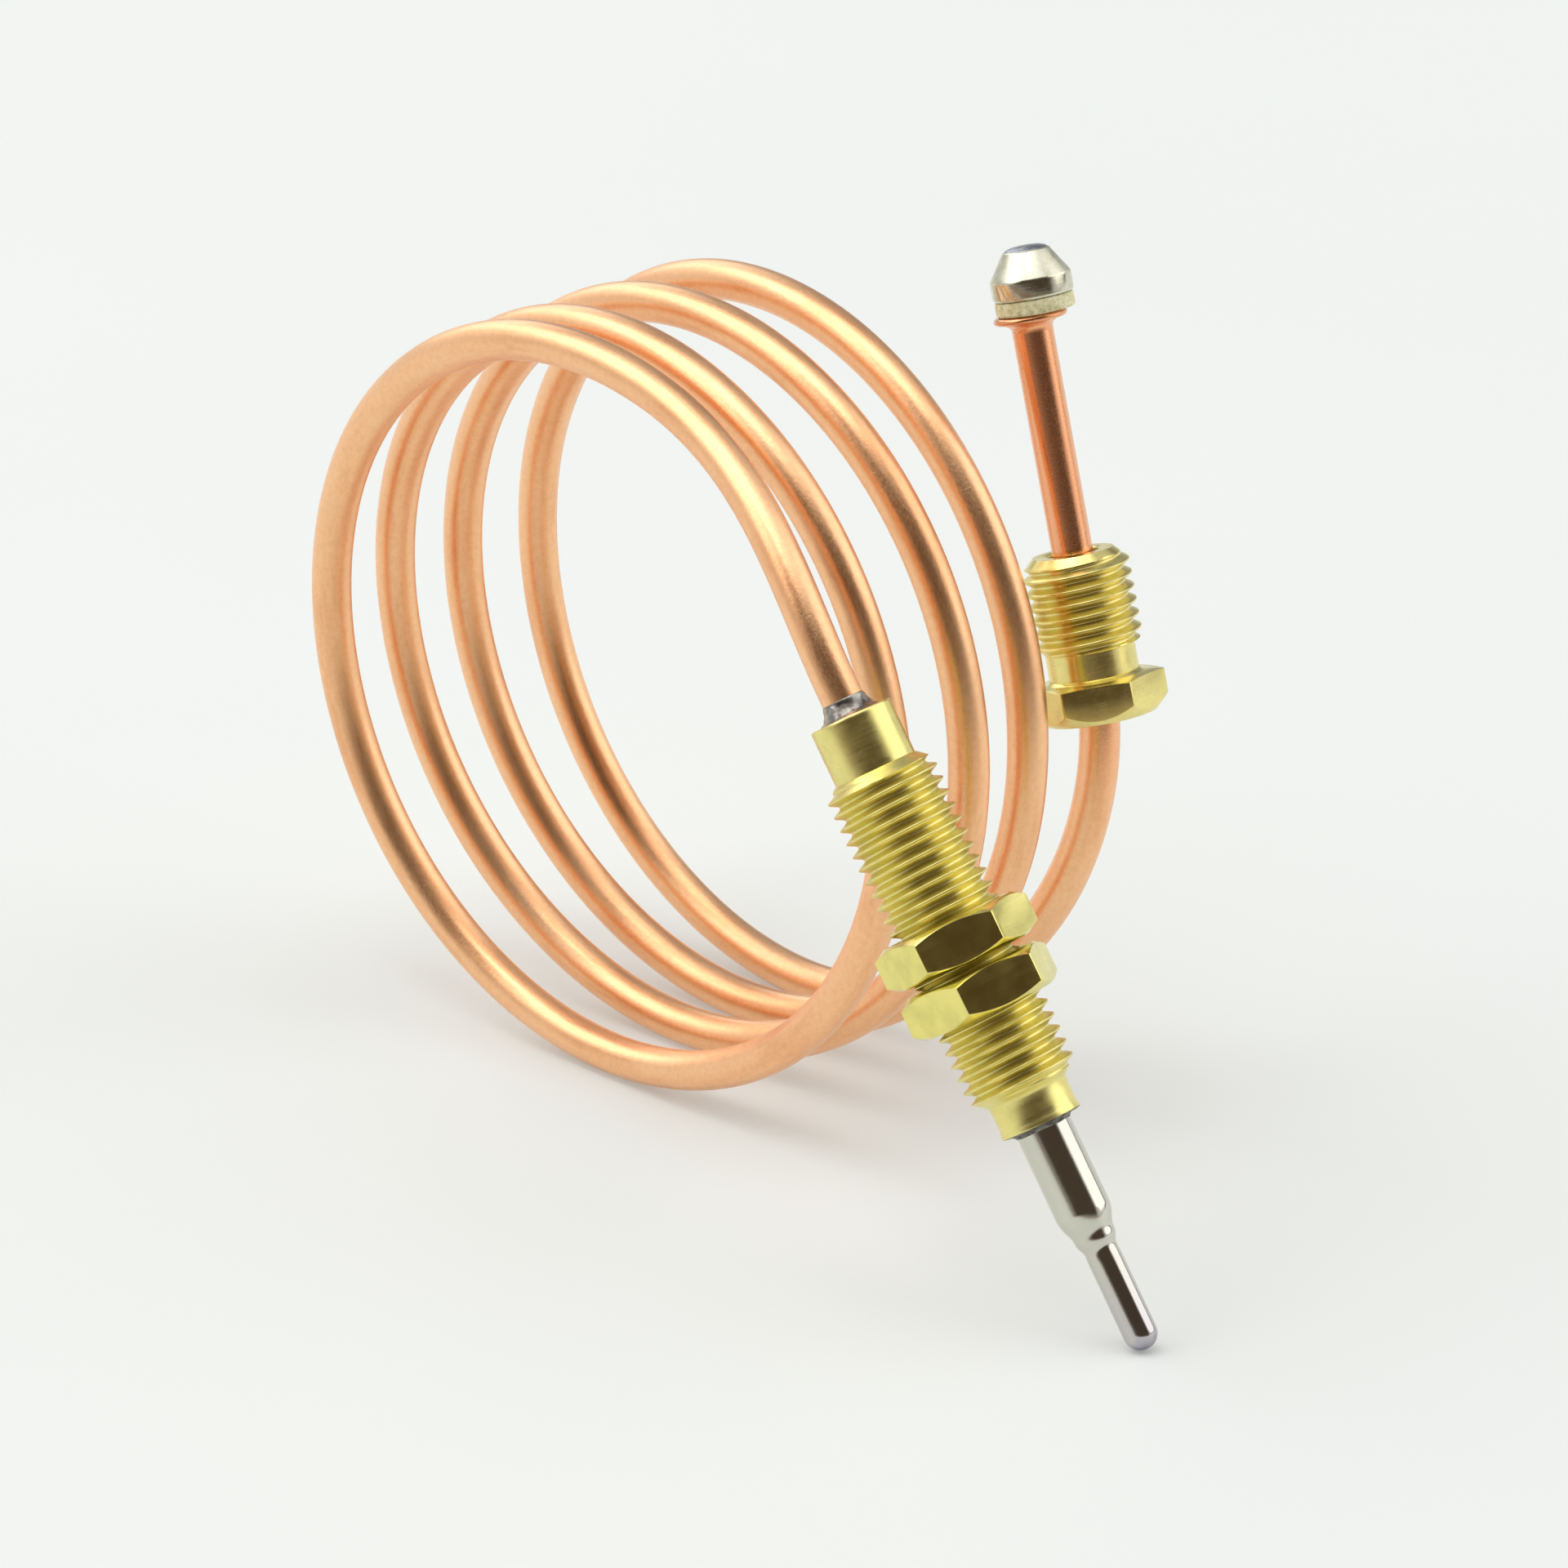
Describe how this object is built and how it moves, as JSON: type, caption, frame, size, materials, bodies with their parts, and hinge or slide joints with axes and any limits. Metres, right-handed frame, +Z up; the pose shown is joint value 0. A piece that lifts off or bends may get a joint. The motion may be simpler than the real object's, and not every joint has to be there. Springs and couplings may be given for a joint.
{
  "type": "thermocouple",
  "caption": "Flame-failure thermocouple: steel probe in a threaded brass sleeve with lock nuts, coiled copper lead, and a contact button with a loose union nut.",
  "frame": {"origin": "bottom centre of the bounding box, at the level of the surface the part stands on", "axes": "+Z up; +Y along the level axis of the lead's coil, from the probe's side to the connector's side; +X from the coil towards the probe's tip"},
  "size_m": [0.0886, 0.039, 0.0641],
  "materials": {
    "copper": "satin copper, lightly tarnished",
    "brass": "machined",
    "steel": "polished, faint heat tint at the nose",
    "tin": "bright tinned",
    "solder": "dull soft solder",
    "braze": "rough grey braze",
    "fibre": "pressed fibre, speckled",
    "ceramic": "matt",
    "glass_fibre": "woven glass fibre",
    "constantan": "drawn wire"
  },
  "bodies": {
    "lead": {"mounting_sleeve": "brass", "hot_junction_sheath": "steel", "front_braze_ring": "braze", "rear_solder_fillet": "solder", "lead_tube": "copper", "contact_flange": "copper", "insulating_washer": "fibre", "contact_cone": "tin", "contact_solder_pad": "solder", "thermoelement_wire": "constantan", "tip_weld_bead": "steel", "sheath_insulator": "ceramic", "cold_junction_splice": "copper", "splice_insulator": "glass_fibre", "core_wire": "copper", "core_insulation": "glass_fibre"},
    "union_nut": {"union_nut": "brass"},
    "rear_lock_nut": {"rear_lock_nut": "brass"},
    "front_lock_nut": {"front_lock_nut": "brass"}
  },
  "joints": [
    {"name": "union_nut_slide", "type": "slide", "parent": "lead", "child": "union_nut", "axis": [-0.3001, 0.0313, 0.9534], "range_m": [0, 0.0165]},
    {"name": "rear_lock_nut_travel", "type": "slide", "parent": "lead", "child": "rear_lock_nut", "axis": [-0.558, -0.0547, 0.8281], "range_m": [-0.0003, 0.01]},
    {"name": "front_lock_nut_travel", "type": "slide", "parent": "lead", "child": "front_lock_nut", "axis": [0.558, 0.0547, -0.8281], "range_m": [-0.0003, 0.005]}
  ]
}
